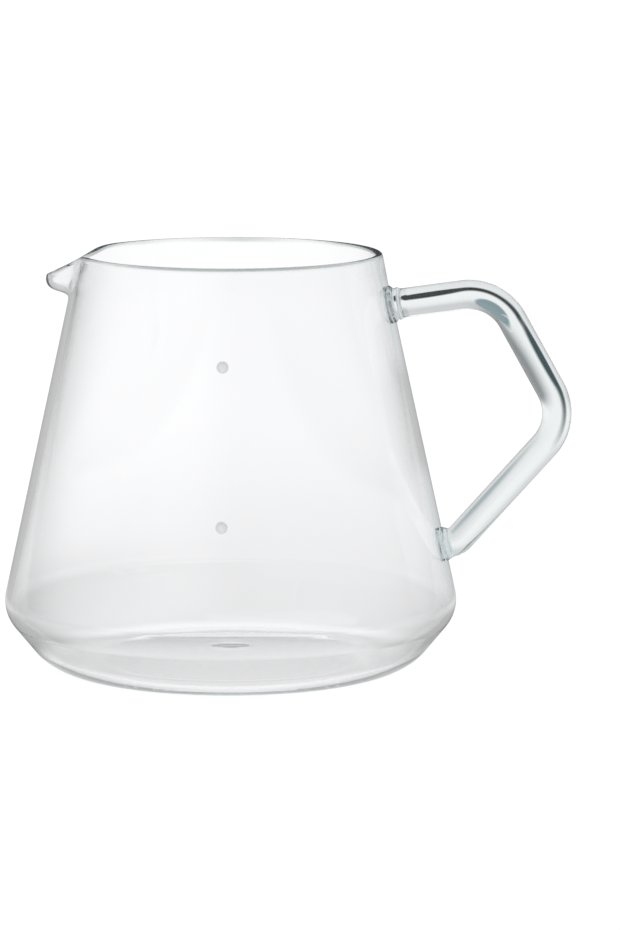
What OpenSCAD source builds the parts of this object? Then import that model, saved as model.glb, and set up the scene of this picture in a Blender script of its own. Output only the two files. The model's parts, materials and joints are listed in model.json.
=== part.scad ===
// Glass coffee server: a cone-shaped blown vessel with a pinched pouring lip, a bent glass rod
// welded to it as a handle, and two printed level dots.
// Frame: the vessel's axis is Z and the table is z = 0. The handle points along +X, the lip
// along -X, and the dots face -Y. All lengths are in millimetres.

/* [Vessel] */
// Widest diameter, at the shoulder just above the foot
body_d = 125; // [112:1:140]
// Height from the table to the top of the rim
body_h = 115; // [105:1:135]
// Outer diameter of the rim
rim_d = 84; // [76:1:94]
// Thickness of the glass wall
wall = 1.8; // [1.4:0.1:2.2]
// Thickness of the base
base_t = 2.6; // [2:0.1:4]
// Height of the widest point above the table
shoulder_h = 18.8; // [16:0.2:24]
// Radius of the rounded shoulder
shoulder_r = 10; // [8:0.5:12]
// Diameter of the foot's corner, before it is rounded
foot_d = 100; // [90:1:106]
// Radius of the rounding at the foot
foot_r = 15.5; // [12:0.5:17]
// Width of the flat ring that the vessel stands on
rest_ring_w = 8; // [4:0.5:12]
// Depth of the hollow pushed up under the base
push_up = 2; // [0.6:0.1:3]
// Thickness of the melted bead round the rim
bead_d = 2.4; // [2:0.1:3]

/* [Pouring lip] */
// Distance from the vessel's axis to the tip of the lip
lip_reach = 50.8; // [48.5:0.1:54]
// Height of the rim above the tip
lip_drop = 6.5; // [5:0.1:8]
// Outer width of the lip at its tip
lip_tip_d = 8; // [6:0.2:10]
// Diameter of the round root that the lip grows from
lip_root_d = 36; // [30:1:40]
// Diameter of the root at its lower end
lip_low_d = 28; // [22:1:30]
// Angle of each flank of the lip, from its middle line
lip_flank_a = 47; // [42:1:55]
// Depth below the rim at which the lip leaves the wall
lip_depth = 12.7; // [11:0.1:15]
// Distance from the vessel's axis at which the rim starts to fall
lip_start = 38.5; // [37:0.1:40]

/* [Handle] */
// Diameter of the glass rod
rod_d = 8; // [7:0.1:9]
// Radius of the rod's two large bends, along its centre line
bend_r = 13.5; // [8:0.5:16]
// How much thinner the rod is in its bends
bend_thin = 0.1; // [0.08:0.02:0.3]
// Depth below the rim at which the upper arm leaves the wall
upper_drop = 13.7; // [12.5:0.1:20]
// Depth of the upper bend's corner below the rim
upper_bend_drop = 9.4; // [6:0.1:14]
// Distance from the wall to the upper bend's corner
upper_bend_off = 29.7; // [26:0.1:36]
// Height of the outer bend's corner above the table
outer_bend_h = 70.3; // [62:0.1:76]
// Distance from the wall to the outer bend's corner
outer_bend_off = 41.9; // [38:0.1:50]
// Height at which the lower end meets the wall
lower_h = 35.2; // [32:0.1:42]
// Length of the stub that turns the lower end square to the wall
lower_stub = 3.8; // [3.6:0.1:4.4]

/* [Welds] */
// Diameter of the upper weld on the wall
upper_weld_d = 10.4; // [9.4:0.1:12]
// Diameter of the lower weld on the wall
lower_weld_d = 10; // [9.4:0.1:12]
// Length of a weld, from the wall to the rod
weld_l = 2; // [1.6:0.1:2.2]
// Height of a weld's round edge on the wall
weld_edge = 0.6; // [0.3:0.1:0.9]

/* [Level marks] */
// Diameter of a printed dot
mark_d = 3.2; // [2:0.1:5]
// Thickness of the printed layer
mark_t = 0.1; // [0.05:0.01:0.2]
// Clearance between the printed layer and the wall
mark_gap = 0.05; // [0.03:0.01:0.1]
// Height of the upper dot above the table
upper_mark_h = 89.3; // [70:0.1:92]
// Height of the lower dot above the table
lower_mark_h = 47.7; // [30:0.1:60]
// Angle of the dots round the vessel, from the handle
mark_a = -84; // [-120:1:-60]

/* [Hidden] */
$fn = 180;
// Sides of the round shapes inside a hull
HULL_FN = 32;
// Steps in each rounded stretch of an outline
ARC_STEPS = 10;
// Overrun of a cut past the face that it cuts
over = 1;
// How far a straight run of rod reaches over the bend next to it
bend_in = 0.3;

// Centre of the shoulder's arc in the outline, as [radius, height]
shoulder_c = [body_d / 2 - shoulder_r, shoulder_h];
// Corner of the foot before it is rounded
foot_corner = [foot_d / 2, 0];
// Centre of the rim bead's section
bead_c = [rim_d / 2 - bead_d / 2, body_h - bead_d / 2];
// Top end of the cone's outer side, level with the bead's centre
cone_top = [bead_c[0] + wall / 2, bead_c[1]];
// Slope of the outline between the foot and the shoulder
foot_a = heading(foot_corner, shoulder_c) - asin(shoulder_r / norm(shoulder_c - foot_corner));
// Slope of the cone's outer side
cone_a = heading(shoulder_c, cone_top) + asin(shoulder_r / norm(cone_top - shoulder_c));
// Direction square to the cone's outer side, pointing out
normal_a = cone_a - 90;
// Centre of the foot's arc
foot_c = [foot_d / 2 - foot_r * tan(foot_a / 2), foot_r];
// Radius of the hollow under the base, where it meets the flat ring
hollow_r = foot_c[0] - rest_ring_w;
// Radius of the sphere that the hollow follows
hollow_sphere_r = (pow(hollow_r, 2) + pow(push_up, 2)) / (2 * push_up);
hollow_c = [0, push_up - hollow_sphere_r];
// Inner side of the foot's corner, before it is rounded
inner_corner_run = (base_t - wall * cos(foot_a)) / sin(foot_a);
inner_corner = foot_corner + wall * heading_unit(foot_a + 90) + inner_corner_run * heading_unit(foot_a);
inner_foot_r = foot_r - wall;
inner_foot_c = [inner_corner[0] - inner_foot_r * tan(foot_a / 2), base_t + inner_foot_r];

// Places of the lip's round ends, from the vessel's axis
lip_tip_x = lip_reach - lip_tip_d / 2;
lip_root_x = lip_tip_x - (lip_root_d - lip_tip_d) / 2 / sin(lip_flank_a);
lip_low_z = body_h - lip_depth;
lip_low_x = wall_r(lip_low_z) - wall / 2 - lip_low_d / 2;
lip_slope_a = atan(lip_drop / (lip_reach - lip_start));

// Corners of the rod's centre line, as [x, z]
upper_end = [wall_r(body_h - upper_drop), body_h - upper_drop];
upper_corner_z = body_h - upper_bend_drop;
upper_corner = [wall_r(upper_corner_z) + upper_bend_off, upper_corner_z];
outer_corner = [wall_r(outer_bend_h) + outer_bend_off, outer_bend_h];
lower_end = [wall_r(lower_h), lower_h];
lower_corner = lower_end + lower_stub * heading_unit(normal_a);
// Headings of the rod's four straight runs, from the upper end to the lower end
upper_a = heading(upper_end, upper_corner);
outer_a = heading(upper_corner, outer_corner);
lower_a = heading(outer_corner, lower_corner);
stub_a = normal_a - 180;
// Radius of the small bend, which takes all of the stub past the weld
stub_bend_r = (lower_stub - weld_l) / tan((lower_a - stub_a) / 2);

function heading_unit(a) = [cos(a), sin(a)];
function heading(p, q) = atan2(q[1] - p[1], q[0] - p[0]);

// Points of an arc about c, from angle a0 to angle a1
function arc(c, r, a0, a1) =
    [for (i = [0:ARC_STEPS]) c + r * heading_unit(a0 + (a1 - a0) * i / ARC_STEPS)];

// Outer radius of the cone at height z
function wall_r(z) = cone_top[0] + (cone_top[1] - z) * tan(normal_a);

// Outline of the outside, from the middle of the base to the rim
function outer_outline() = concat(
    arc(hollow_c, hollow_sphere_r, 90, 90 - asin(hollow_r / hollow_sphere_r)),
    arc(foot_c, foot_r, -90, foot_a - 90),
    arc(shoulder_c, shoulder_r, foot_a - 90, normal_a),
    [cone_top]
);

// Outline of the inside, from the middle of the floor to the rim
function inner_outline() = concat(
    arc(hollow_c, hollow_sphere_r + base_t, 90, 90 - asin(hollow_r / (hollow_sphere_r + base_t))),
    arc(inner_foot_c, inner_foot_r, -90, foot_a - 90),
    arc(shoulder_c, shoulder_r - wall, foot_a - 90, normal_a),
    [cone_top - wall * heading_unit(normal_a)]
);

// The space that the outer outline encloses, closed level with the bead's centre
module body_solid() {
    rotate_extrude()
        polygon(concat(outer_outline(), [[0, cone_top[1]]]));
}

// The space inside the glass, carried on past the rim
module cavity() {
    rotate_extrude()
        polygon(concat(inner_outline(), [
            [bead_c[0] - wall / 2, body_h + over],
            [0, body_h + over],
        ]));
}

module rim_bead() {
    rotate_extrude()
        translate(bead_c)
            circle(d = bead_d);
}

// The lip as a solid block, with every side but its top drawn in by inset
module lip_block(inset, top) {
    floor_z = body_h - lip_drop - wall + inset;
    hull() {
        translate([-lip_tip_x, 0, floor_z])
            cylinder(h = top - floor_z, d = lip_tip_d - 2 * inset, $fn = HULL_FN);
        translate([-lip_root_x, 0, top - wall])
            cylinder(h = wall, d = lip_root_d - 2 * inset, $fn = HULL_FN);
        translate([-lip_low_x, 0, lip_low_z + inset])
            cylinder(h = wall, d = lip_low_d - 2 * inset, $fn = HULL_FN);
    }
}

// Everything above the sloping edge of the lip
module lip_cut() {
    translate([-lip_start, 0, body_h])
        rotate([0, -lip_slope_a, 0])
            translate([-body_d / 2, -body_d / 2, 0])
                cube([body_d / 2 + over, body_d, body_d / 2]);
}

module vessel() {
    color("aliceblue", 0.35)
        difference() {
            union() {
                difference() {
                    union() {
                        body_solid();
                        lip_block(0, cone_top[1]);
                    }
                    cavity();
                }
                rim_bead();
            }
            lip_block(wall, body_h + over);
            lip_cut();
        }
}

// A straight run of rod from p to q, lengthened at each end by in_p and in_q
module rod_run(p, q, in_p, in_q) {
    start = p - in_p * heading_unit(heading(p, q));
    translate([start[0], 0, start[1]])
        rotate([0, 90 - heading(p, q), 0])
            cylinder(h = norm(q - p) + in_p + in_q, d = rod_d);
}

// A bend to the right at corner p, from heading a0 to heading a1
module rod_bend(p, a0, a1, r) {
    centre = p + r / cos((a0 - a1) / 2) * heading_unit((a0 + a1) / 2 - 90);
    translate([centre[0], 0, centre[1]])
        rotate([90, 0, 0])
            rotate([0, 0, a1 + 90])
                rotate_extrude(angle = a0 - a1)
                    translate([r, 0])
                        circle(d = rod_d - bend_thin);
}

// Distance from a corner to the ends of its bend
function bend_run(a0, a1, r) = r * tan((a0 - a1) / 2);

module handle() {
    upper_run = bend_run(upper_a, outer_a, bend_r);
    outer_run = bend_run(outer_a, lower_a, bend_r);
    stub_run = bend_run(lower_a, stub_a, stub_bend_r);
    color("lightsteelblue", 0.6) {
        rod_run(
            upper_end + weld_l * heading_unit(upper_a),
            upper_corner - upper_run * heading_unit(upper_a),
            0,
            bend_in
        );
        rod_bend(upper_corner, upper_a, outer_a, bend_r);
        rod_run(
            upper_corner + upper_run * heading_unit(outer_a),
            outer_corner - outer_run * heading_unit(outer_a),
            bend_in,
            bend_in
        );
        rod_bend(outer_corner, outer_a, lower_a, bend_r);
        rod_run(
            outer_corner + outer_run * heading_unit(lower_a),
            lower_corner - stub_run * heading_unit(lower_a),
            bend_in,
            bend_in
        );
        rod_bend(lower_corner, lower_a, stub_a, stub_bend_r);
    }
}

// A melted collar that flares from the rod to the wall at point p, along heading a
module weld(p, a, d) {
    flare = [for (i = [0:ARC_STEPS]) [
        rod_d / 2 + (d - rod_d) / 2 * (1 - sin(90 * i / ARC_STEPS)),
        weld_l - (weld_l - weld_edge) * cos(90 * i / ARC_STEPS),
    ]];
    difference() {
        translate([p[0], 0, p[1]])
            rotate([0, 90 - a, 0])
                rotate_extrude()
                    polygon(concat([[0, -wall], [d / 2, -wall]], flare, [[0, weld_l]]));
        body_solid();
    }
}

module upper_handle_weld() {
    color("lightblue", 0.6)
        weld(upper_end, upper_a, upper_weld_d);
}

module lower_handle_weld() {
    color("lightblue", 0.6)
        weld(lower_end, normal_a, lower_weld_d);
}

// The cone's outer side near height h, with its radius grown by t
module wall_band(h, t) {
    translate([0, 0, h - mark_d])
        cylinder(h = 2 * mark_d, r1 = wall_r(h - mark_d) + t, r2 = wall_r(h + mark_d) + t);
}

// A dot printed on the wall at height h
module level_mark(h) {
    color("gainsboro")
        intersection() {
            difference() {
                wall_band(h, (mark_gap + mark_t) / cos(normal_a));
                wall_band(h, mark_gap / cos(normal_a));
            }
            rotate([0, 0, mark_a])
                translate([wall_r(h), 0, h])
                    rotate([0, 90 - normal_a, 0])
                        translate([0, 0, -mark_d / 2])
                            cylinder(h = mark_d, d = mark_d);
        }
}

module upper_level_mark() {
    level_mark(upper_mark_h);
}

module lower_level_mark() {
    level_mark(lower_mark_h);
}

vessel();
handle();
upper_handle_weld();
lower_handle_weld();
upper_level_mark();
lower_level_mark();
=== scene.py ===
"""Glass coffee server: a blown vessel with a pinched lip, a bent rod handle and two printed dots.

Frame, in metres: the vessel's axis is Z and the table is z = 0. The handle points along +X,
the lip along -X, and the dots face -Y.
"""

import json
from math import asin, atan2, cos, exp, hypot, pi, radians, sin, tan

import bmesh
import bpy
from mathutils import Matrix, Vector, noise

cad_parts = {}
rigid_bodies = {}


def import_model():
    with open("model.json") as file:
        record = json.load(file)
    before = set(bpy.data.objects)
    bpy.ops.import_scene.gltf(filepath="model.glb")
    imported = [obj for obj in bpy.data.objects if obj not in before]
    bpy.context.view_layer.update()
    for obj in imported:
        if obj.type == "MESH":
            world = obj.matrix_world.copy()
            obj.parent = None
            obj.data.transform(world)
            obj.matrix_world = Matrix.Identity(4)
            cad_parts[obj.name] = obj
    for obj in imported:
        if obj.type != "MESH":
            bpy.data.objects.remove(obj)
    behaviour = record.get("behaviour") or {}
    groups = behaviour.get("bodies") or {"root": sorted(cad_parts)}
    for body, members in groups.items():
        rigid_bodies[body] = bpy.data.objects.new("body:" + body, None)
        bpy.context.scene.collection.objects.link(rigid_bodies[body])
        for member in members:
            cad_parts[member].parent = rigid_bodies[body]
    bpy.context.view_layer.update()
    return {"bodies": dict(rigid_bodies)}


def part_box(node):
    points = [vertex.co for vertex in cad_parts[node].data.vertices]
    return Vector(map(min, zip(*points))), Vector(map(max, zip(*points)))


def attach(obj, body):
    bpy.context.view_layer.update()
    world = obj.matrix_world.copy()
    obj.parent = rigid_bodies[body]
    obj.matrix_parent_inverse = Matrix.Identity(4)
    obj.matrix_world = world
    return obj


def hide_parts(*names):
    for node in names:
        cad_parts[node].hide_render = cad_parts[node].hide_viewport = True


bl_info = {
    "name": "Glass Coffee Server",
    "version": (1, 0, 0),
    "blender": (4, 5, 0),
    "location": "View3D > Sidebar > Coffee Server",
    "description": "Builds a clear glass coffee server and its studio",
    "category": "Add Mesh",
}

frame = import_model()
BODY = next(iter(frame["bodies"]))
VESSEL_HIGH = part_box("vessel")[1]
BODY_INSET = 0.00002  # keeps the widest ring inside the part's box
FLAT_TURN = pi / 2
FULL_TURN = 2 * pi

# How finely the shapes are made
SEAM_GAP = 1e-6  # vertices nearer than this are merged
LIP_STEPS, BODY_STEPS = 128, 192  # steps round the lip's sector and round the rest
RIM_REACH = 0.020  # depth below the bead of the wall's upper part, where rings stand closer
WALL_RINGS, RIM_RINGS = 20, 26  # rings up the lower and the upper part
DOME_RINGS, FLAT_RINGS, FOOT_RINGS, SHOULDER_RINGS, BEAD_RINGS = 26, 4, 16, 18, 16
ROD_SIDES, RUN_RINGS, BEND_RINGS, STUB_RINGS = 64, 12, 28, 14
WELD_SIDES, WELD_RINGS = 96, 12
DOT_SIDES = 48
FLOOR_SIDES, FLAG_SIDES = 96, 32

# Angles round the vessel, from the handle, at which the painted shade on the rim's bead is left out
CLEAR_PLACES = (0.0, radians(34), radians(64), radians(122), radians(150), radians(-150))
CLEAR_SPREAD = radians(22)

# Distances on the floor between which its brightness changes
NEAR_TO_FAR = (0.05, 0.5)
UNDER_BASE, FRONT_TO_BACK = (0.048, 0.062), (-0.05, 0.05)
SIDES, SIDES_REACH = (0.030, 0.085), (0.12, 0.24)
CORNERS, CORNERS_FRONT, CORNERS_REACH = (0.036, 0.052), (-0.01, 0.02), (0.072, 0.10)
MIRROR_REACH, MIRRORED_SHARE = (0.06, 0.22), 0.9  # and the share that reflections show close by
EDGES, EDGES_REACH = (0.048, 0.060), (0.085, 0.15)

# Parts of a direction between which the studio's brightness changes
LEFT_TO_RIGHT, FOOT_TO_TOP, WALLS_TO_CEILING = (-0.35, 0.6), (0.0, 0.35), (0.1, 1.0)
WINDOW_SIDE, WINDOW_REACH = (-0.75, -0.62, 0.22), (0.45, 0.95)

# The stage
LIGHT_STEPS = 160  # how often light may turn; it runs a long way inside the rim
FLOOR_R, FLOOR_DROP = 9.0, 0.00005
SOFTBOX_SIZE, SOFTBOX_PLACE, SOFTBOX_AIM = 0.9, (-0.35, 0.25, 1.1), (0, 0, 0.05)
CAMERA_TURN, CAMERA_RISE, CAMERA_DISTANCE = radians(7.5), radians(8.65), 1.3
AIM_ASIDE, AIM_HEIGHT = 0.02196, 0.056
LENS, SENSOR = 182.2, 36  # in millimetres
CAMERA_REACH = 50


def length(name, description, default):
    """A size in metres that the sidebar can change."""
    return bpy.props.FloatProperty(
        name=name, description=description, default=default, min=0, precision=5, unit="LENGTH"
    )


def tint(name, description, default):
    """A colour that the sidebar can change."""
    return bpy.props.FloatVectorProperty(
        name=name, description=description, default=default, size=3, min=0, max=1, subtype="COLOR"
    )


def amount(name, description, default):
    """A plain number that the sidebar can change."""
    return bpy.props.FloatProperty(
        name=name, description=description, default=default, min=0, precision=4
    )


class VesselSizes(bpy.types.PropertyGroup):
    """Sizes of the blown vessel."""

    body_r: length("Body radius", "Largest radius, at the shoulder", VESSEL_HIGH.y - BODY_INSET)
    body_h: length("Height", "Height of the rim above the table", VESSEL_HIGH.z)
    rim_r: length("Rim radius", "Outer radius of the rim's bead", 0.042)
    wall: length("Wall", "Thickness of the wall", 0.0018)
    base: length("Base", "Thickness of the base", 0.00215)
    shoulder_h: length("Shoulder height", "Height of the widest point", 0.0188)
    shoulder_round: length("Shoulder round", "Radius of the rounded shoulder", 0.010)
    foot_r: length("Foot radius", "Radius of the foot's corner before it is rounded", 0.050)
    foot_round: length("Foot round", "Radius of the rounding at the foot", 0.0155)
    rest_ring: length("Resting ring", "Width of the flat ring that touches the table", 0.008)
    push_up: length("Push-up", "Depth of the hollow under the base", 0.002)
    bead_r: length("Bead radius", "Radius of the melted bead round the rim", 0.0011)
    swell: length("Swell", "Distance below the bead over which the wall thins", 0.0080)
    scar_r: length("Scar radius", "Radius of the small scar in the middle of the base", 0.0042)
    scar_h: length("Scar height", "Height of the scar over the floor", 0.0004)
    ripple: length("Ripple", "Unevenness of the blown inside", 0.00005)


class LipSizes(bpy.types.PropertyGroup):
    """Sizes of the pinched pouring lip."""

    pull: length("Pull", "How far the rim is drawn outwards", 0.0092)
    drop: length("Drop", "How far the rim is drawn down", 0.0063)
    spread: length("Spread", "Distance along the rim at which the pull falls to a third", 0.0072)
    drop_spread: length("Drop spread", "The same distance for the drop of the rim", 0.0086)
    depth: length("Depth", "Distance down the wall over which the lip fades out", 0.0130)
    sector: bpy.props.FloatProperty(
        name="Sector",
        description="Part of the rim that is turned finely, because the lip is drawn from it",
        default=radians(64), min=0.1, max=FLAT_TURN, subtype="ANGLE",
    )


class HandleSizes(bpy.types.PropertyGroup):
    """Sizes of the bent rod."""

    rod_r: length("Rod radius", "Radius of the glass rod", 0.0040)
    bend_r: length("Bend radius", "Radius of the large bends along the rod's middle line", 0.0135)
    upper_drop: length("Upper drop", "Depth below the rim at which the upper arm starts", 0.0137)
    upper_bend_drop: length("Upper bend drop", "Depth of the upper corner below the rim", 0.0094)
    upper_bend_off: length("Upper bend offset", "The corner's distance from the wall", 0.0297)
    outer_bend_h: length("Outer bend height", "Height of the outer corner", 0.0703)
    outer_bend_off: length("Outer bend offset", "The corner's distance from the wall", 0.04176)
    lower_h: length("Lower height", "Height at which the lower end meets the wall", 0.0352)
    lower_stub: length("Lower stub", "Length of the stub at the rod's lower end", 0.0038)
    sink: length("Sink", "How far melted pieces reach into each other", 0.0001)


class WeldSizes(bpy.types.PropertyGroup):
    """Sizes of the two melted collars."""

    upper_r: length("Upper radius", "Radius of the upper collar on the wall", 0.0052)
    lower_r: length("Lower radius", "Radius of the lower collar on the wall", 0.0047)
    bulge_h: length("Bulge height", "Distance from the wall to the collar's fullest part", 0.0004)
    bulge_out: length("Bulge", "How far that part stands out past the collar's edge", 0.00004)
    groove_h: length("Groove height", "Distance from the wall to the groove", 0.0015)
    groove_out: length("Groove", "How far the groove's bottom stands out past the rod", 0.00030)
    swell_h: length("Swelling height", "Distance from the wall to the second swelling", 0.0021)
    swell_out: length("Swelling", "How far the second swelling stands out past the rod", 0.00050)
    upper_reach: length("Upper reach", "Distance from the wall to the rod's upper end", 0.0032)
    lower_reach: length("Lower reach", "Distance from the wall to the rod's lower end", 0.0020)


class MarkSizes(bpy.types.PropertyGroup):
    """Sizes of the printed level dots."""

    dot_r: length("Dot radius", "Radius of a printed dot", 0.0016)
    ink: length("Ink thickness", "Thickness of the printed layer", 0.0001)
    gap: length("Gap", "Clearance between the ink and the wall", 0.00005)


class GlassLook(bpy.types.PropertyGroup):
    """Colours and finish of the glass and the ink, and the grey shade painted on the rim."""

    vessel_tint: tint("Vessel tint", "Colour that its surfaces let through", (0.992, 0.992, 0.997))
    # Painted shade: the grey put into the glass's colour over the top of the rim's bead.
    rim_shade_colour: tint("Rim tint", "Colour that the rim's melted edge lets through", (0.44, 0.48, 0.48))
    rod_tint: tint("Rod tint", "Colour that its surfaces let through", (0.985, 0.992, 0.993))
    vessel_depth: tint("Vessel depth", "Colour where the vessel is thick", (0.60, 0.68, 0.70))
    vessel_density: amount("Vessel density", "How fast that colour sets in, per metre", 8.0)
    rod_depth: tint("Rod depth", "Colour where the rod is thick", (0.30, 0.44, 0.46))
    rod_density: amount("Rod density", "How fast that colour sets in, per metre", 26.0)
    ior: amount("Refraction", "Index of refraction of the glass", 1.47)
    ink: tint("Ink", "Colour of the printed dots", (0.88, 0.88, 0.90))


class StageLook(bpy.types.PropertyGroup):
    """Light and floor of the studio."""

    floor: tint("Floor", "Colour of the floor", (0.08, 0.08, 0.08))
    floor_glow: amount("Floor glow", "Brightness of the lit floor", 0.97)
    floor_near: amount("Floor near", "Share of it close to the server, seen through glass", 0.86)
    floor_under: amount("Floor under", "Share of it under the base, seen through glass", 1.0)
    floor_slant: amount("Floor slant", "How much that share falls in front and rises behind", 0.13)
    floor_corner: amount("Floor corner", "Share of it at the foot's left and right end", 0.50)
    floor_edge: amount("Floor edge", "Brightness beside the foot, in reflections", 0.20)
    floor_beside: amount("Floor beside", "Share of it to the server's sides, through glass", 0.74)
    floor_mirrored: amount("Floor in reflections", "Brightness of the floor further off", 0.30)
    horizon: amount("Horizon", "Brightness of the backdrop's foot, seen through glass", 1.28)
    backdrop_left: amount("Backdrop left", "Brightness of the left side, through glass", 0.95)
    backdrop_right: amount("Backdrop right", "Brightness of the right side, through glass", 0.35)
    walls: amount("Walls", "Brightness of the studio walls in reflections", 0.10)
    ceiling: amount("Ceiling", "Brightness that the ceiling adds", 0.45)
    inner_lift: amount("Inner lift", "How much reflections inside the glass are whitened", 0.38)
    fill: amount("Fill", "Brightness of the light that falls on matt pieces", 0.95)
    window: amount("Window", "Brightness that the large window at the front left adds", 0.9)
    softbox: amount("Softbox", "Power of the softbox overhead, in watts", 1.5)


class CoffeeServerSettings(bpy.types.PropertyGroup):
    """All sizes, colours and lights of the server."""

    vessel: bpy.props.PointerProperty(type=VesselSizes, name="Vessel")
    lip: bpy.props.PointerProperty(type=LipSizes, name="Lip")
    handle: bpy.props.PointerProperty(type=HandleSizes, name="Handle")
    weld: bpy.props.PointerProperty(type=WeldSizes, name="Welds")
    mark: bpy.props.PointerProperty(type=MarkSizes, name="Marks")
    glass: bpy.props.PointerProperty(type=GlassLook, name="Glass")
    stage: bpy.props.PointerProperty(type=StageLook, name="Stage")


def unit(angle):
    """The unit vector at an angle in the outline's plane, as (radius, height)."""
    return Vector((cos(angle), sin(angle)))


def heading(p, q):
    """The angle from p to q in the outline's plane."""
    return atan2(q.y - p.y, q.x - p.x)


def arc(centre, radius, start, end, steps):
    """Points of an arc in the outline's plane."""
    return [centre + radius * unit(start + (end - start) * i / steps) for i in range(steps + 1)]


def line(start, end, steps):
    """Points between start and end, without either of them."""
    return [start.lerp(end, i / steps) for i in range(1, steps)]


def smooth(x):
    """Rises from 0 to 1 as x does, level at both ends."""
    x = min(max(x, 0), 1)
    return x * x * (3 - 2 * x)


class Outline:
    """The vessel's outline, worked out from its sizes."""

    SCAR_FALL = 2.718  # the scar has sunk to one part in this many at its radius
    SCAR_EDGE = 4  # how suddenly it sinks there

    def __init__(self, v):
        self.v = v
        self.bead = Vector((v.rim_r - v.bead_r, v.body_h - v.bead_r))
        self.cone_top = self.bead + Vector((v.wall / 2, 0))
        self.shoulder = Vector((v.body_r - v.shoulder_round, v.shoulder_h))
        corner = Vector((v.foot_r, 0))
        reach = (self.shoulder - corner).length
        self.foot_a = heading(corner, self.shoulder) - asin(v.shoulder_round / reach)
        reach = (self.cone_top - self.shoulder).length
        cone_a = heading(self.shoulder, self.cone_top) + asin(v.shoulder_round / reach)
        self.normal_a = cone_a - FLAT_TURN
        self.foot = Vector((v.foot_r - v.foot_round * tan(self.foot_a / 2), v.foot_round))
        run = (v.base - v.wall * cos(self.foot_a)) / sin(self.foot_a)
        inner_corner = corner + v.wall * unit(self.foot_a + FLAT_TURN) + run * unit(self.foot_a)
        self.inner_round = v.foot_round - v.wall
        inner_x = inner_corner.x - self.inner_round * tan(self.foot_a / 2)
        self.inner_foot = Vector((inner_x, v.base + self.inner_round))
        self.hollow_r = self.foot.x - v.rest_ring
        self.dome_r = (self.hollow_r**2 + v.push_up**2) / (2 * v.push_up)

    def wall_r(self, z):
        """Outer radius of the cone at height z."""
        return self.cone_top.x + (self.cone_top.y - z) * tan(self.normal_a)

    def dome(self, radius):
        """Points of a dome over the hollow under the base, from its middle outwards."""
        centre = Vector((0, self.v.push_up - self.dome_r))
        edge_a = FLAT_TURN - asin(self.hollow_r / radius)
        points = arc(centre, radius, FLAT_TURN, edge_a, DOME_RINGS)
        points[0].x = 0
        return points

    def outside(self):
        """Points from the middle of the underside to just under the rim."""
        points = self.dome(self.dome_r)
        points += line(points[-1], Vector((self.foot.x, 0)), FLAT_RINGS)
        points += self.foot_and_shoulder(self.foot, self.v.foot_round, self.v.shoulder_round)
        return points + self.side(points[-1], 1)

    def foot_and_shoulder(self, foot, foot_r, shoulder_r):
        """Points round the foot, up the slope and round the shoulder."""
        slope_a = self.foot_a - FLAT_TURN
        points = arc(foot, foot_r, -FLAT_TURN, slope_a, FOOT_RINGS)
        points += line(points[-1], self.shoulder + shoulder_r * unit(slope_a), FLAT_RINGS)
        return points + arc(self.shoulder, shoulder_r, slope_a, self.normal_a, SHOULDER_RINGS)

    def side(self, low, outward):
        """Points up the cone, closer together where the lip is drawn and the rim swells."""
        v = self.v
        up, out = unit(self.normal_a + FLAT_TURN), outward * unit(self.normal_a)
        points = line(low, self.bead - RIM_REACH * up + v.wall / 2 * out, WALL_RINGS)
        for i in range(RIM_RINGS):
            depth = RIM_REACH * (1 - i / RIM_RINGS)
            half = v.wall / 2 + (v.bead_r - v.wall / 2) * smooth(1 - depth / v.swell)
            points.append(self.bead - depth * up + half * out)
        return points

    def rim(self):
        """Points over the melted rim, from the outside of the wall to the inside."""
        return arc(self.bead, self.v.bead_r, self.normal_a, self.normal_a + pi, BEAD_RINGS)

    def inside(self):
        """Points from just under the rim to the middle of the floor."""
        v = self.v
        points = self.dome(self.dome_r + v.base)
        for p in points:
            p.y += v.scar_h * self.SCAR_FALL ** (-((p.x / v.scar_r) ** self.SCAR_EDGE))
        points += line(points[-1], Vector((self.inner_foot.x, v.base)), FLAT_RINGS)
        inner_shoulder = v.shoulder_round - v.wall
        points += self.foot_and_shoulder(self.inner_foot, self.inner_round, inner_shoulder)
        points += self.side(points[-1], -1)
        return points[::-1]


class RodPath:
    """The middle line of the handle's rod, in the plane of X and Z."""

    def __init__(self, h, lower_reach, outline):
        rim_h = outline.v.body_h
        self.upper = Vector((outline.wall_r(rim_h - h.upper_drop), rim_h - h.upper_drop))
        upper_z = rim_h - h.upper_bend_drop
        self.upper_corner = Vector((outline.wall_r(upper_z) + h.upper_bend_off, upper_z))
        outer_x = outline.wall_r(h.outer_bend_h) + h.outer_bend_off
        self.outer_corner = Vector((outer_x, h.outer_bend_h))
        self.lower = Vector((outline.wall_r(h.lower_h), h.lower_h))
        self.lower_corner = self.lower + h.lower_stub * unit(outline.normal_a)
        self.upper_a = heading(self.upper, self.upper_corner)
        self.outer_a = heading(self.upper_corner, self.outer_corner)
        self.lower_a = heading(self.outer_corner, self.lower_corner)
        self.stub_a = outline.normal_a - pi
        stub_turn = self.lower_a - self.stub_a
        self.stub_bend_r = (h.lower_stub - lower_reach) / tan(stub_turn / 2)


def in_space(p):
    """A point of the outline's plane, placed in the plane of X and Z."""
    return Vector((p.x, 0, p.y))


def mesh_from(name, bm):
    """Makes a mesh from a bmesh, and frees the bmesh."""
    mesh = bpy.data.meshes.new(name)
    bm.to_mesh(mesh)
    bm.free()
    return mesh


def place_object(name, data):
    """Puts a mesh, a lamp or a camera into the scene."""
    thing = bpy.data.objects.new(name, data)
    bpy.context.scene.collection.objects.link(thing)
    return thing


def made_verts(made):
    """The vertices among what an operator has made."""
    return [g for g in made if isinstance(g, bmesh.types.BMVert)]


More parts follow.
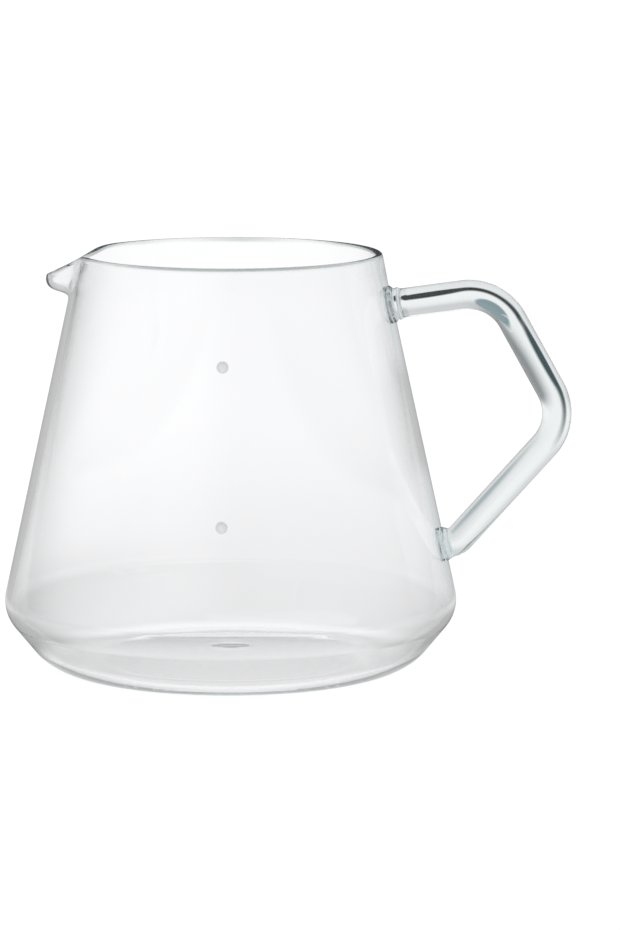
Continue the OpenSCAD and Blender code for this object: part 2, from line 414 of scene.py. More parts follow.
def new_piece(name, bm, material, nodes):
    """Makes an object from a bmesh, gives it its material and ties it to the frame."""
    mesh = mesh_from(name, bm)
    for face in mesh.polygons:
        face.use_smooth = True
    mesh.materials.append(material)
    piece = place_object(name, mesh)
    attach(piece, BODY)
    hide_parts(*nodes)


def chain(bm, points):
    """Vertices and edges along a list of points in the outline's plane."""
    verts = [bm.verts.new(in_space(p)) for p in points]
    edges = [bm.edges.new(pair) for pair in zip(verts, verts[1:])]
    return verts + edges


def close_shell(bm):
    """Merges the seam of a turned shell and points its faces outwards."""
    bmesh.ops.remove_doubles(bm, verts=bm.verts, dist=SEAM_GAP)
    bmesh.ops.recalc_face_normals(bm, faces=bm.faces)


def spin_outline(bm, geom, angle, steps, merge):
    """Turns an outline round the Z axis."""
    bmesh.ops.spin(
        bm, geom=geom, cent=(0, 0, 0), axis=(0, 0, 1), angle=angle, steps=steps, use_merge=merge
    )


def turn_verts(bm, verts, angle):
    """Turns vertices round the Z axis."""
    matrix = Matrix.Rotation(angle, 3, "Z")
    bmesh.ops.rotate(bm, verts=verts, cent=(0, 0, 0), matrix=matrix)


def spin_round(bm, points, steps):
    """Turns an outline round the Z axis into a closed shell."""
    spin_outline(bm, chain(bm, points), FULL_TURN, steps, True)
    close_shell(bm)


def turn_sector(bm, points, start, angle, steps, doublings=4):
    """Turns an outline through part of a circle: a narrow slice first, which is then doubled."""
    slice_angle = angle / 2**doublings
    piece = bmesh.new()
    geom = chain(piece, points)
    turn_verts(piece, piece.verts, start)
    spin_outline(piece, geom, slice_angle, steps // 2**doublings, False)
    for _ in range(doublings):
        everything = piece.verts[:] + piece.edges[:] + piece.faces[:]
        copied = bmesh.ops.duplicate(piece, geom=everything)["geom"]
        turn_verts(piece, made_verts(copied), slice_angle)
        slice_angle *= 2
    mesh = mesh_from("sector", piece)
    bm.from_mesh(mesh)
    bpy.data.meshes.remove(mesh)


def spin_in_two(bm, points, sector, fine_steps, steps):
    """Turns an outline round the Z axis, finely through a sector round -X, coarsely elsewhere."""
    turn_sector(bm, points, pi - sector / 2, sector, fine_steps)
    turn_sector(bm, points, pi + sector / 2, FULL_TURN - sector, steps)
    close_shell(bm)


class LipPull:
    """Draws part of the rim out and down, as a lip is drawn from hot glass."""

    SIDE_FADE = 0.12  # angle over which the pull dies away at the sector's two sides

    def __init__(self, outline, lip):
        self.lip = lip
        self.bead = outline.bead
        self.up = unit(outline.normal_a + FLAT_TURN)
        self.out = unit(outline.normal_a)

    def middle(self, turn, depth):
        """Where the middle of the wall ends up, at an angle from the lip and a depth."""
        lip = self.lip
        along = abs(turn) * self.bead.x
        from_side = lip.sector / 2 - abs(turn)
        fade = smooth(1 - depth / lip.depth) * smooth(from_side / self.SIDE_FADE)
        pull = lip.pull * fade * exp(-((along / lip.spread) ** 2))
        drop = lip.drop * fade * exp(-((along / lip.drop_spread) ** 2))
        r = self.bead.x - self.up.x * depth + pull
        z = self.bead.y - self.up.y * depth - drop
        return Vector((-r * cos(turn), -r * sin(turn), z))

    def apply(self, vert):
        """Moves one vertex with the wall that it belongs to, and keeps the wall's thickness."""
        turn = atan2(-vert.co.y, -vert.co.x)
        from_bead = Vector((hypot(vert.co.x, vert.co.y), vert.co.z)) - self.bead
        along, across = from_bead.dot(self.up), from_bead.dot(self.out)
        depth = max(-along, 0)
        if abs(turn) >= self.lip.sector / 2 or depth >= self.lip.depth:
            return
        step = 1e-4  # for the wall's slope, found by trying a little further on
        place = self.middle(turn, depth)
        upward = (place - self.middle(turn, depth + step)).normalized()
        sideways = (self.middle(turn + step, depth) - place).normalized()
        outward = sideways.cross(upward).normalized()
        vert.co = place + max(along, 0) * upward + across * outward


# Painted shade: the grey band painted over the top of the rim's bead starts and rises by these.
SHADE_RISE, SHADE_LOW = 2, 0.2  # how fast the tint sets in over the bead, and its start there


def mark_rim_shade(bm, outline):
    """Notes on each vertex how much painted shade it takes: a grey band over the top of the rim's
    bead, left out at a few angles round the vessel.
    """
    shade_share = bm.verts.layers.float.new("shade_share")
    up = unit(outline.normal_a + FLAT_TURN)
    for vert in bm.verts:
        height = (Vector((hypot(vert.co.x, vert.co.y), vert.co.z)) - outline.bead).dot(up)
        side = atan2(vert.co.y, vert.co.x)
        clear = max(exp(-(((side - place) / CLEAR_SPREAD) ** 2)) for place in CLEAR_PLACES)
        vert[shade_share] = smooth(height / outline.v.bead_r * SHADE_RISE + SHADE_LOW) * (1 - clear)


INSIDE_SHARE = 0.9  # of the wall's thickness: what lies deeper is its inside
WAVES_ACROSS, WAVES_UP = 45, 14  # per metre


def uneven(bm, outline, ripple):
    """Gives the blown inside its slight unevenness."""
    low, high = outline.v.shoulder_h, outline.bead.y - outline.v.bead_r
    for vert in bm.verts:
        r = hypot(vert.co.x, vert.co.y)
        inside = outline.wall_r(vert.co.z) - r > outline.v.wall * INSIDE_SHARE
        if inside and low < vert.co.z < high:
            x, y, z = vert.co
            wave = noise.noise(Vector((x * WAVES_ACROSS, y * WAVES_ACROSS, z * WAVES_UP)))
            vert.co.x += wave * ripple * vert.co.x / r
            vert.co.y += wave * ripple * vert.co.y / r


def set_inputs(node, **values):
    """Sets a shader's own sockets by name, with _ for a space."""
    for name, value in values.items():
        node.inputs[name.replace("_", " ")].default_value = value


class Nodes:
    """A short way to add nodes and links to a material or world."""

    def __init__(self, tree):
        self.tree = tree
        tree.nodes.clear()

    def add(self, kind, **settings):
        node = self.tree.nodes.new(kind)
        for name, value in settings.items():
            setattr(node, name, value)
        return node

    def link(self, out_socket, in_socket):
        self.tree.links.new(out_socket, in_socket)

    def feed(self, value, in_socket):
        """Links a socket to another, or sets it to a number."""
        if isinstance(value, bpy.types.NodeSocket):
            self.link(value, in_socket)
        else:
            in_socket.default_value = value


def new_material(name):
    """Makes a material, and gives it back with its nodes and its output."""
    material = bpy.data.materials.new(name)
    material.use_nodes = True
    n = Nodes(material.node_tree)
    return material, n, n.add("ShaderNodeOutputMaterial")


def shade_between(n, switch, first, second, shader):
    """Gives a shader a base colour that goes from the first to the second."""
    shade = n.add("ShaderNodeMix", data_type="RGBA")
    shade.inputs["A"].default_value = (*first, 1)
    shade.inputs["B"].default_value = (*second, 1)
    n.link(switch, shade.inputs["Factor"])
    n.link(shade.outputs["Result"], shader.inputs["Base Color"])


def noise_at(n, place, scale, detail, roughness):
    """A socket with soft noise."""
    node = n.add("ShaderNodeTexNoise")
    set_inputs(node, Scale=scale, Detail=detail, Roughness=roughness)
    n.link(place, node.inputs["Vector"])
    return node.outputs["Fac"]


def add_bump(n, height, strength, distance, shader):
    """Gives a shader a bump."""
    bump = n.add("ShaderNodeBump")
    set_inputs(bump, Strength=strength, Distance=distance)
    n.link(height, bump.inputs["Height"])
    n.link(bump.outputs["Normal"], shader.inputs["Normal"])


def spread(n, value, low, high, at_low, at_high, kind="SMOOTHSTEP"):
    """A socket that goes from at_low to at_high as value goes from low to high."""
    ramp = n.add("ShaderNodeMapRange", interpolation_type=kind)
    set_inputs(ramp, From_Min=low, From_Max=high, To_Min=at_low, To_Max=at_high)
    n.link(value, ramp.inputs["Value"])
    return ramp.outputs["Result"]


def glass_material(
    name, surface_tint, depth_tint, density, ior, wave_scale, wave_height, edge_shade_colour=None
):
    """Clear glass: slow waves, faint smears, a colour that shows only through its depth, and, where
    an edge colour is given, grey shade painted on the rim's bead.
    """
    material, n, out = new_material(name)
    glass = n.add("ShaderNodeBsdfPrincipled")
    set_inputs(glass, Transmission_Weight=1.0, IOR=ior, Base_Color=(*surface_tint, 1))
    n.link(glass.outputs["BSDF"], out.inputs["Surface"])
    depth = n.add("ShaderNodeVolumeAbsorption")
    set_inputs(depth, Color=(*depth_tint, 1), Density=density)
    n.link(depth.outputs["Volume"], out.inputs["Volume"])

    # Painted shade: the base colour turns grey over the marked top of the rim's bead.
    if edge_shade_colour:
        shade_share = n.add("ShaderNodeAttribute", attribute_name="shade_share")
        shade_between(n, shade_share.outputs["Fac"], surface_tint, edge_shade_colour, glass)

    place = n.add("ShaderNodeTexCoord").outputs["Object"]
    smear = noise_at(n, place, scale=60.0, detail=5.0, roughness=0.6)
    rough = spread(n, smear, low=0.45, high=0.8, at_low=0.0, at_high=0.03, kind="LINEAR")
    n.link(rough, glass.inputs["Roughness"])
    stretch = n.add("ShaderNodeMapping")
    set_inputs(stretch, Scale=(1.0, 1.0, 0.35))
    n.link(place, stretch.inputs["Vector"])
    wave = noise_at(n, stretch.outputs["Vector"], scale=wave_scale, detail=1.0, roughness=0.4)
    add_bump(n, wave, strength=1.0, distance=wave_height, shader=glass)
    return material


def ink_material(look):
    """Pale fired-on ink with a slightly uneven coat."""
    thin, thick = 0.94, 1.05  # brightness of the coat where it is thin and where it is thick
    material, n, out = new_material("fired_ink")
    ink = n.add("ShaderNodeBsdfPrincipled")
    set_inputs(ink, IOR=1.45)
    n.link(ink.outputs["BSDF"], out.inputs["Surface"])
    place = n.add("ShaderNodeTexCoord").outputs["Object"]
    grain = noise_at(n, place, scale=2500.0, detail=3.0, roughness=0.6)
    dark, pale = [c * thin for c in look.ink], [min(c * thick, 1) for c in look.ink]
    shade_between(n, grain, dark, pale, ink)
    rough = spread(n, grain, low=0.0, high=1.0, at_low=0.35, at_high=0.55, kind="LINEAR")
    n.link(rough, ink.inputs["Roughness"])
    add_bump(n, grain, strength=0.6, distance=0.00002, shader=ink)
    return material


class COFFEESERVER_OT_vessel(bpy.types.Operator):
    """Blows the vessel: a turned shell with a melted rim, an uneven inside and a drawn lip"""

    bl_idname = "coffeeserver.vessel"
    bl_label = "Vessel"

    def execute(self, context):
        s = context.scene.coffee_server
        outline = Outline(s.vessel)
        bm = bmesh.new()
        points = outline.outside() + outline.rim() + outline.inside()
        spin_in_two(bm, points, s.lip.sector, LIP_STEPS, BODY_STEPS)
        # Painted shade: marks the top of the rim's bead for the grey put into the glass's colour.
        mark_rim_shade(bm, outline)
        uneven(bm, outline, s.vessel.ripple)
        pull = LipPull(outline, s.lip)
        for vert in bm.verts:
            pull.apply(vert)
        g = s.glass
        material = glass_material(
            "blown_glass", g.vessel_tint, g.vessel_depth, g.vessel_density, g.ior,
            wave_scale=30.0, wave_height=0.00003, edge_shade_colour=g.rim_shade_colour,
        )
        new_piece("vessel_glass", bm, material, ["vessel"])
        return {"FINISHED"}


def open_edges(bm):
    """The edges of a bmesh that border no face or one face."""
    return [edge for edge in bm.edges if len(edge.link_faces) < 2]


def push_ring(bm, edges, offset, steps):
    """Draws a ring of edges along a straight line and gives back the new ring."""
    for _ in range(steps):
        made = bmesh.ops.extrude_edge_only(bm, edges=edges)["geom"]
        verts = made_verts(made)
        bmesh.ops.translate(bm, verts=verts, vec=offset / steps)
        new_edges = [g for g in made if isinstance(g, bmesh.types.BMEdge)]
        edges = [edge for edge in new_edges if all(v in verts for v in edge.verts)]
    return edges


def bend_ring(bm, edges, corner, start_a, end_a, radius, steps):
    """Turns a ring of edges round a bend to the right and gives back the new ring."""
    half = (start_a - end_a) / 2
    centre = corner + radius / cos(half) * unit((start_a + end_a) / 2 - FLAT_TURN)
    verts = list({v for edge in edges for v in edge.verts})
    made = bmesh.ops.spin(
        bm, geom=verts + edges, cent=in_space(centre), axis=(0, 1, 0),
        angle=start_a - end_a, steps=steps, use_merge=False,
    )["geom_last"]
    return [g for g in made if isinstance(g, bmesh.types.BMEdge)]


class COFFEESERVER_OT_handle(bpy.types.Operator):
    """Bends the handle from one straight glass rod"""

    bl_idname = "coffeeserver.handle"
    bl_label = "Handle"

    def execute(self, context):
        s = context.scene.coffee_server
        h = s.handle
        outline = Outline(s.vessel)
        path = RodPath(h, s.weld.lower_reach, outline)
        bm = bmesh.new()
        start = path.upper + (s.weld.upper_reach - h.sink) * unit(path.upper_a)
        facing = Matrix.Rotation(FLAT_TURN - path.upper_a, 4, "Y")
        bmesh.ops.create_circle(
            bm, cap_ends=False, segments=ROD_SIDES, radius=h.rod_r,
            matrix=Matrix.Translation(in_space(start)) @ facing,
        )
        ring = list(bm.edges)
        at = start
        bends = (
            (path.upper_corner, path.upper_a, path.outer_a, h.bend_r, BEND_RINGS),
            (path.outer_corner, path.outer_a, path.lower_a, h.bend_r, BEND_RINGS),
            (path.lower_corner, path.lower_a, path.stub_a, path.stub_bend_r, STUB_RINGS),
        )
        for corner, start_a, end_a, radius, steps in bends:
            run = radius * tan((start_a - end_a) / 2)
            bend_start = corner - run * unit(start_a)
            ring = push_ring(bm, ring, in_space(bend_start - at), RUN_RINGS)
            ring = bend_ring(bm, ring, corner, start_a, end_a, radius, steps)
            at = corner + run * unit(end_a)
        ring = push_ring(bm, ring, in_space(h.sink * unit(path.stub_a)), 1)
        bmesh.ops.holes_fill(bm, edges=open_edges(bm), sides=0)
        bmesh.ops.recalc_face_normals(bm, faces=bm.faces)
        g = s.glass
        material = glass_material(
            "drawn_rod_glass", g.rod_tint, g.rod_depth, g.rod_density, g.ior,
            wave_scale=90.0, wave_height=0.00002,
        )
        new_piece("handle_rod", bm, material, ["handle"])
        return {"FINISHED"}


def melted(keys, steps):
    """Points through a few (height, radius) pairs, with soft turns between them."""
    points = []
    for (low, low_r), (high, high_r) in zip(keys, keys[1:]):
        for i in range(steps):
            share = i / steps
            r = low_r + (high_r - low_r) * smooth(share)
            points.append(Vector((r, low + (high - low) * share)))
    return points + [Vector((keys[-1][1], keys[-1][0]))]


TRAVEL_TRIES = 8  # each brings the point closer to the wall


def wall_travel(point, axis, outline):
    """How far a point moves along an axis to reach the outside of the cone."""
    travel = 0.0
    for _ in range(TRAVEL_TRIES):
        p = point + axis * travel
        travel -= hypot(p.x, p.y) - outline.wall_r(p.z)
    return travel


class COFFEESERVER_OT_welds(bpy.types.Operator):
    """Melts the two collars that join the rod to the wall"""

    bl_idname = "coffeeserver.welds"
    bl_label = "Welds"

    def execute(self, context):
        s = context.scene.coffee_server
        outline = Outline(s.vessel)
        path = RodPath(s.handle, s.weld.lower_reach, outline)
        material = bpy.data.materials["drawn_rod_glass"]
        w = s.weld
        upper = (path.upper, path.upper_a, w.upper_r, w.upper_reach)
        lower = (path.lower, outline.normal_a, w.lower_r, w.lower_reach)
        welds = (
            ("upper_weld", "upper_handle_weld", *upper),
            ("lower_weld", "lower_handle_weld", *lower),
        )
        for name, node, place, angle, radius, reach in welds:
            bm = bmesh.new()
            keys = [
                (0, radius),
                (w.bulge_h, radius + w.bulge_out),
                (w.groove_h, s.handle.rod_r + w.groove_out),
            ]
            if reach > w.swell_h:
                keys.append((w.swell_h, s.handle.rod_r + w.swell_out))
            keys.append((reach, s.handle.rod_r))
            side = melted(keys, WELD_RINGS)
            spin_round(bm, [Vector((0, 0))] + side + [Vector((0, reach))], WELD_SIDES)
            turn = Matrix.Rotation(FLAT_TURN - angle, 4, "Y")
            axis = in_space(unit(angle))
            for vert in bm.verts:
                height = vert.co.z
                vert.co = in_space(place) + (turn @ vert.co)
                travel = wall_travel(vert.co - axis * height, axis, outline) - s.handle.sink
                vert.co += axis * travel * (1 - smooth(height / reach))
            new_piece(name, bm, material, [node])
        return {"FINISHED"}


class COFFEESERVER_OT_marks(bpy.types.Operator):
    """Prints the two level dots on the front of the wall"""

    bl_idname = "coffeeserver.marks"
    bl_label = "Level marks"
    EDGE_POWER, EDGE_WEAR = 8, 0.75  # how close to the edge the ink wears off, and how much

    def execute(self, context):
        s = context.scene.coffee_server
        outline = Outline(s.vessel)
        dot_r = s.mark.dot_r
        material = ink_material(s.glass)
        for name in ("upper_level_mark", "lower_level_mark"):
            low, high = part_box(name)
            middle = (low + high) / 2
            turn = atan2(middle.y, middle.x)
            out, up = cos(outline.normal_a), sin(outline.normal_a)
            outward = Vector((cos(turn) * out, sin(turn) * out, up))
            bm = bmesh.new()
            bmesh.ops.create_circle(bm, cap_ends=True, segments=DOT_SIDES, radius=dot_r)
            bmesh.ops.inset_region(bm, faces=list(bm.faces), thickness=dot_r / 2)
            bmesh.ops.subdivide_edges(bm, edges=list(bm.edges), cuts=1, use_grid_fill=True)
            top = bmesh.ops.extrude_face_region(bm, geom=list(bm.faces))["geom"]
            lifted = set(made_verts(top))
            facing = outward.to_track_quat("Z", "Y").to_matrix().to_4x4()
            for vert in bm.verts:
                height = s.mark.gap
                if vert in lifted:
                    worn = (vert.co.length / dot_r) ** self.EDGE_POWER * self.EDGE_WEAR
                    height += s.mark.ink * max(1 - worn, 0)
                base = middle + (facing @ vert.co)
                vert.co = base + outward * (wall_travel(base, outward, outline) + height)
            bmesh.ops.recalc_face_normals(bm, faces=bm.faces)
            new_piece(name + "_ink", bm, material, [name])
        return {"FINISHED"}


def combine(n, operation, first, second, clamp=False):
    """A socket with the sum, product, difference or the like of two values."""
    node = n.add("ShaderNodeMath", operation=operation, use_clamp=clamp)
    n.feed(first, node.inputs[0])
    n.feed(second, node.inputs[1])
    return node.outputs["Value"]


def product(n, first, *others):
    """A socket with the product of several values."""
    for other in others:
        first = combine(n, "MULTIPLY", first, other)
    return first


def near(n, value, middle, slack):
    """A socket that is 1 where value is within slack of middle, and 0 elsewhere."""
    node = n.add("ShaderNodeMath", operation="COMPARE")
    n.feed(value, node.inputs[0])
    n.feed(middle, node.inputs[1])
    n.feed(slack, node.inputs[2])
    return node.outputs["Value"]


def choose(n, switch, when_off, when_on):
    """A socket with one of two values."""
    node = n.add("ShaderNodeMix", data_type="FLOAT")
    n.link(switch, node.inputs["Factor"])
    n.feed(when_off, node.inputs["A"])
    n.feed(when_on, node.inputs["B"])
    return node.outputs["Result"]


def own_place(n):
    """Sockets with a point's distance from the middle of its object, and its X and its Y there."""
    place = n.add("ShaderNodeTexCoord")
    away = n.add("ShaderNodeVectorMath", operation="LENGTH")
    n.link(place.outputs["Object"], away.inputs[0])
    parts = n.add("ShaderNodeSeparateXYZ")
    n.link(place.outputs["Object"], parts.inputs["Vector"])
    return away.outputs["Value"], parts.outputs["X"], parts.outputs["Y"]


def mirrored(n, ray, own_steps=0):
    """A socket that is 1 for a ray that was mirrored, and 0 for one that only passed glass."""
    steps = combine(n, "SUBTRACT", ray.outputs["Ray Depth"], own_steps)
    return combine(n, "SUBTRACT", steps, ray.outputs["Transmission Depth"], clamp=True)


def lift_inside(n, ray, value, share):
    """A socket that brightens what is mirrored inside the glass, not what its outside mirrors."""
    inside = product(n, ray.outputs["Transmission Depth"], share)
    inside = combine(n, "MINIMUM", inside, share)
    return choose(n, inside, value, 1.0)


def floor_seen_through(n, look, away, across, forward):
    """A socket with the floor's share of its full brightness, as seen through glass."""
    share = spread(n, away, *NEAR_TO_FAR, look.floor_near, 1.0)
    front, back = look.floor_under - look.floor_slant, look.floor_under + look.floor_slant
    slanted = spread(n, forward, *FRONT_TO_BACK, front, back)
    share = choose(n, spread(n, away, *UNDER_BASE, 1.0, 0.0), share, slanted)
    sides = spread(n, across, *SIDES, 0.0, 1.0)
    beside = product(n, sides, spread(n, away, *SIDES_REACH, 1.0, 0.0))
    share = choose(n, beside, share, look.floor_beside)
    corner = product(
        n,
        spread(n, across, *CORNERS, 0.0, 1.0),
        spread(n, forward, *CORNERS_FRONT, 1.0, 0.0),
        spread(n, away, *CORNERS_REACH, 1.0, 0.0),
    )
    return choose(n, corner, share, look.floor_corner)


def floor_mirrored(n, look, away, across):
    """A socket with the floor's brightness, as seen in reflections."""
    dim = spread(n, away, *MIRROR_REACH, look.floor_glow * MIRRORED_SHARE, look.floor_mirrored)
    edge = spread(n, across, *EDGES, 0.0, 1.0)
    edge = product(n, edge, spread(n, away, *EDGES_REACH, 1.0, 0.0))
    return choose(n, edge, dim, look.floor_edge)


def floor_material(look):
    """A lit white floor, a little dimmer round the server, and dimmer still in reflections."""
    material, n, out = new_material("white_floor")
    paint = n.add("ShaderNodeBsdfPrincipled")
    set_inputs(paint, Base_Color=(*look.floor, 1), Roughness=0.9, Specular_IOR_Level=0.0)
    set_inputs(paint, Emission_Color=(1, 1, 1, 1))
    away, x, y = own_place(n)
    across = combine(n, "ABSOLUTE", x, 0.0)
    through = product(n, floor_seen_through(n, look, away, across, y), look.floor_glow)
    ray = n.add("ShaderNodeLightPath")
    dim = lift_inside(n, ray, floor_mirrored(n, look, away, across), look.inner_lift)
    glow = choose(n, mirrored(n, ray), through, dim)
    glow = choose(n, ray.outputs["Is Diffuse Ray"], glow, look.fill)
    glow = choose(n, ray.outputs["Is Camera Ray"], glow, look.floor_glow)
    n.link(glow, paint.inputs["Emission Strength"])
    n.link(paint.outputs["BSDF"], out.inputs["Surface"])
    return material


def studio_world(look):
    """A pale backdrop behind the glass, with dim walls, ceiling and a window in reflections."""
    world = bpy.data.worlds.new("studio")
    bpy.context.scene.world = world
    world.use_nodes = True
    n = Nodes(world.node_tree)
    out = n.add("ShaderNodeOutputWorld")
    place = n.add("ShaderNodeTexCoord")
    parts = n.add("ShaderNodeSeparateXYZ")
    n.link(place.outputs["Generated"], parts.inputs["Vector"])
    x, z = parts.outputs["X"], parts.outputs["Z"]
    sideways = spread(n, x, *LEFT_TO_RIGHT, look.backdrop_left, look.backdrop_right)
    backdrop = choose(n, spread(n, z, *FOOT_TO_TOP, 1.0, 0.0), sideways, look.horizon)
    ceiling = spread(n, z, *WALLS_TO_CEILING, look.walls, look.walls + look.ceiling)
    toward = n.add("ShaderNodeVectorMath", operation="DOT_PRODUCT")
    toward.inputs[1].default_value = Vector(WINDOW_SIDE).normalized()
    n.link(place.outputs["Generated"], toward.inputs[0])
    window = spread(n, toward.outputs["Value"], *WINDOW_REACH, 0.0, look.window)
    ray = n.add("ShaderNodeLightPath")
    around = lift_inside(n, ray, combine(n, "ADD", ceiling, window), look.inner_lift)
    seen = choose(n, mirrored(n, ray, own_steps=1), backdrop, around)
    light = n.add("ShaderNodeBackground")
    n.link(choose(n, ray.outputs["Is Diffuse Ray"], seen, look.fill), light.inputs["Strength"])
    n.link(light.outputs["Background"], out.inputs["Surface"])


class Flag:
    """A soft-edged card on both sides of the handle's plane, for rays from the glass beside it; a
    dark one is painted shade in that glass, a pale mirrored one a painted reflection.
    """

    LEAD = 0.003  # how far from the rod's axis such a ray leaves the glass
    PASSED = 2, 0.5  # faces of glass that a ray has passed, for a card seen through the rod
    TURNED_BACK = 5, 3.5  # the same for a card seen in reflections inside a weld

    def __init__(
        self, name, middle, glass, size, firm, colour, off=0.05, turn=0, slack=0.004, mirrored=False
    ):
        self.name = name
        self.off = off  # distance from the handle's plane
        self.middle = Vector(middle)  # x and z
        self.glass = Vector(glass)  # x and z of a point on the axis of the glass beside it
        self.turn = radians(turn)
        self.half_long, self.half_high = size
        self.firm = firm  # share of the size that has no soft edge
        self.slack = slack  # how far a ray's length may be from the distance to that glass
        self.colour = colour
        self.mirrored = mirrored  # shown to rays mirrored inside the glass, and not to the rest

    def aside(self):
        """Distance of the middle from the glass's axis, along the card's own upward direction."""
        return (self.middle - self.glass).dot(Vector((-sin(self.turn), cos(self.turn))))


def flag_material(flag):
    """A flag's colour, shown only to rays of its own kind from the glass beside it: painted shade
    in the rod, or a painted reflection inside a weld.
    """
    material, n, out = new_material("flag_" + flag.name)
    ray = n.add("ShaderNodeLightPath")
    faces, slack = flag.TURNED_BACK if flag.mirrored else flag.PASSED
    right_faces = near(n, ray.outputs["Transmission Depth"], faces, slack)
    right_kind = mirrored(n, ray)
    if not flag.mirrored:
        right_kind = combine(n, "SUBTRACT", 1.0, right_kind)
    away, _, y = own_place(n)
    soft_edge = spread(n, away, flag.firm, 1.0, 1.0, 0.0)
    aside = combine(n, "ADD", product(n, y, flag.half_high), flag.aside())
    travel = combine(n, "ADD", product(n, aside, aside), (flag.off - flag.LEAD) ** 2)
    travel = combine(n, "POWER", travel, 0.5)
    beside_glass = near(n, ray.outputs["Ray Length"], travel, flag.slack)
    seen = product(n, right_faces, right_kind, soft_edge, beside_glass)
    clear = n.add("ShaderNodeBsdfTransparent")
    paint = n.add("ShaderNodeEmission")
    set_inputs(paint, Color=(*flag.colour, 1), Strength=1.0)
    mix = n.add("ShaderNodeMixShader")
    n.link(seen, mix.inputs["Fac"])
    n.link(clear.outputs["BSDF"], mix.inputs[1])
    n.link(paint.outputs["Emission"], mix.inputs[2])
    n.link(mix.outputs["Shader"], out.inputs["Surface"])
    return material


UPPER_ROD, BEND_ROD = (0.0560, 0.1030), (0.0752, 0.1022)
OUTER_ROD, LOWER_ROD = (0.0827, 0.0888), (0.0749, 0.0500)
# Painted reflection: pale cards seen only in reflections inside the two welds.
WELD_CARD = dict(
    size=(0.024, 0.024), firm=0.6, colour=(0.80, 0.83, 0.84), off=0.012, slack=0.022, mirrored=True
)
# Painted shade: dark and grey cards seen only through the rod, which draw its dark lines.
FLAGS = (
    Flag("upper", middle=(0.0515, 0.0862), glass=UPPER_ROD,
         size=(0.0165, 0.0086), firm=0.6, colour=(0.01, 0.015, 0.015)),
    Flag("outer", middle=(0.0748, 0.0787), glass=OUTER_ROD, turn=-61, off=0.025,
         size=(0.0185, 0.0064), firm=0.5, colour=(0.05, 0.085, 0.095)),
    Flag("inner", middle=(0.1110, 0.0950), glass=OUTER_ROD, turn=-61, slack=0.005,
         size=(0.027, 0.040), firm=0.3, colour=(0.28, 0.30, 0.31)),
    Flag("bend", middle=(0.0795, 0.1105), glass=BEND_ROD, turn=-25,
         size=(0.016, 0.0175), firm=0.8, colour=(0.27, 0.36, 0.38)),
    Flag("lower", middle=(0.0870, 0.0200), glass=LOWER_ROD, turn=-133,
         size=(0.028, 0.017), firm=0.2, colour=(0.42, 0.48, 0.50)),
    Flag("upper_weld", middle=(0.050, 0.103), glass=(0.045, 0.103), **WELD_CARD),
    Flag("lower_weld", middle=(0.066, 0.038), glass=(0.061, 0.038), **WELD_CARD),
)


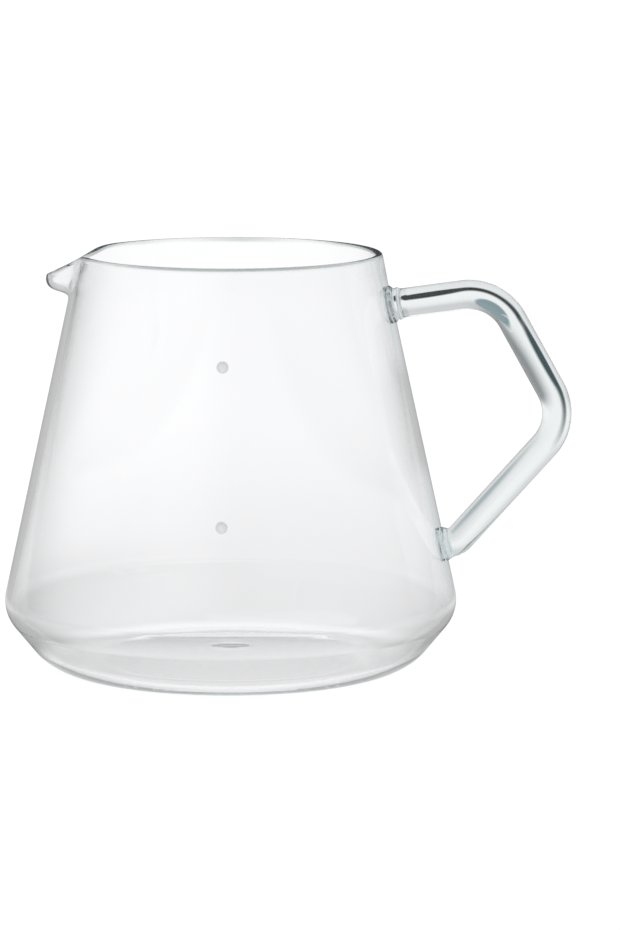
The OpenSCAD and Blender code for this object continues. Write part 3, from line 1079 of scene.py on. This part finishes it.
class COFFEESERVER_OT_stage(bpy.types.Operator):
    """Sets up the floor, the soft light, the cards beside the handle and the camera"""

    bl_idname = "coffeeserver.stage"
    bl_label = "Stage"

    def execute(self, context):
        scene = context.scene
        look = scene.coffee_server.stage
        scene.view_settings.view_transform = "Standard"
        scene.cycles.max_bounces = LIGHT_STEPS
        scene.cycles.glossy_bounces = LIGHT_STEPS
        scene.cycles.transmission_bounces = LIGHT_STEPS
        floor = self.disc("floor", FLOOR_SIDES, FLOOR_R, -FLOOR_DROP, floor_material(look))
        self.flags()
        studio_world(look)
        lamp = bpy.data.lights.new("softbox", "AREA")
        lamp.shape = "DISK"
        lamp.size = SOFTBOX_SIZE
        lamp.energy = look.softbox
        softbox = place_object("softbox", lamp)
        softbox.location = SOFTBOX_PLACE
        toward = Vector(SOFTBOX_AIM) - softbox.location
        softbox.rotation_euler = toward.to_track_quat("-Z", "Y").to_euler()
        self.camera(scene)
        return {"FINISHED"}

    def disc(self, name, sides, radius, height, material):
        """A flat disc of one material."""
        bm = bmesh.new()
        matrix = Matrix.Translation((0, 0, height))
        bmesh.ops.create_circle(bm, cap_ends=True, segments=sides, radius=radius, matrix=matrix)
        mesh = mesh_from(name, bm)
        mesh.materials.append(material)
        return place_object(name, mesh)

    def flags(self):
        """Hangs the soft-edged cards behind and before the handle, hidden from the camera, to paint
        shade and reflections into its glass.
        """
        for flag in FLAGS:
            material = flag_material(flag)
            for side in (1, -1):
                card = self.disc("flag_" + flag.name, FLAG_SIDES, 1.0, 0, material)
                card.location = (flag.middle.x, flag.off * side, flag.middle.y)
                card.rotation_euler = (FLAT_TURN, -flag.turn, 0)
                card.scale = (flag.half_long, flag.half_high, 1)
                card.visible_camera = False
                card.visible_shadow = False
                card.visible_diffuse = False
                card.visible_glossy = flag.mirrored

    def camera(self, scene):
        """Stands the camera where the photograph was taken from."""
        turn, rise = CAMERA_TURN, CAMERA_RISE
        right = Vector((cos(turn), sin(turn), 0))
        back = Vector((sin(turn) * cos(rise), -cos(turn) * cos(rise), sin(rise)))
        aim = AIM_ASIDE * right + Vector((0, 0, AIM_HEIGHT))
        data = bpy.data.cameras.new("camera")
        data.lens = LENS
        data.sensor_width = SENSOR
        data.clip_end = CAMERA_REACH
        camera = place_object("camera", data)
        camera.location = aim + CAMERA_DISTANCE * back
        camera.rotation_euler = back.to_track_quat("Z", "Y").to_euler()
        scene.camera = camera


class COFFEESERVER_PT_sidebar(bpy.types.Panel):
    """Lists the sizes, the looks and one button for each piece"""

    bl_idname = "COFFEESERVER_PT_sidebar"
    bl_label = "Coffee Server"
    bl_space_type = "VIEW_3D"
    bl_region_type = "UI"
    bl_category = "Coffee Server"

    def draw(self, context):
        settings = context.scene.coffee_server
        for operator in OPERATORS:
            self.layout.operator(operator.bl_idname)
        for group_name in ("vessel", "lip", "handle", "weld", "mark", "glass", "stage"):
            group = getattr(settings, group_name)
            box = self.layout.box()
            box.label(text=group_name.capitalize())
            for key in group.bl_rna.properties.keys():
                if key not in ("rna_type", "name"):
                    box.prop(group, key)


OPERATORS = (
    COFFEESERVER_OT_vessel, COFFEESERVER_OT_handle, COFFEESERVER_OT_welds,
    COFFEESERVER_OT_marks, COFFEESERVER_OT_stage,
)
GROUPS = (
    VesselSizes, LipSizes, HandleSizes, WeldSizes, MarkSizes, GlassLook, StageLook,
    CoffeeServerSettings,
)
CLASSES = GROUPS + OPERATORS + (COFFEESERVER_PT_sidebar,)


def register():
    """Adds the classes and the settings."""
    for cls in CLASSES:
        bpy.utils.register_class(cls)
    bpy.types.Scene.coffee_server = bpy.props.PointerProperty(type=CoffeeServerSettings)


def unregister():
    """Takes the settings and the classes away."""
    del bpy.types.Scene.coffee_server
    for cls in reversed(CLASSES):
        bpy.utils.unregister_class(cls)


def main():
    """Builds every piece."""
    register()
    bpy.ops.coffeeserver.vessel()
    bpy.ops.coffeeserver.handle()
    bpy.ops.coffeeserver.welds()
    bpy.ops.coffeeserver.marks()
    bpy.ops.coffeeserver.stage()


if __name__ == "__main__":
    main()
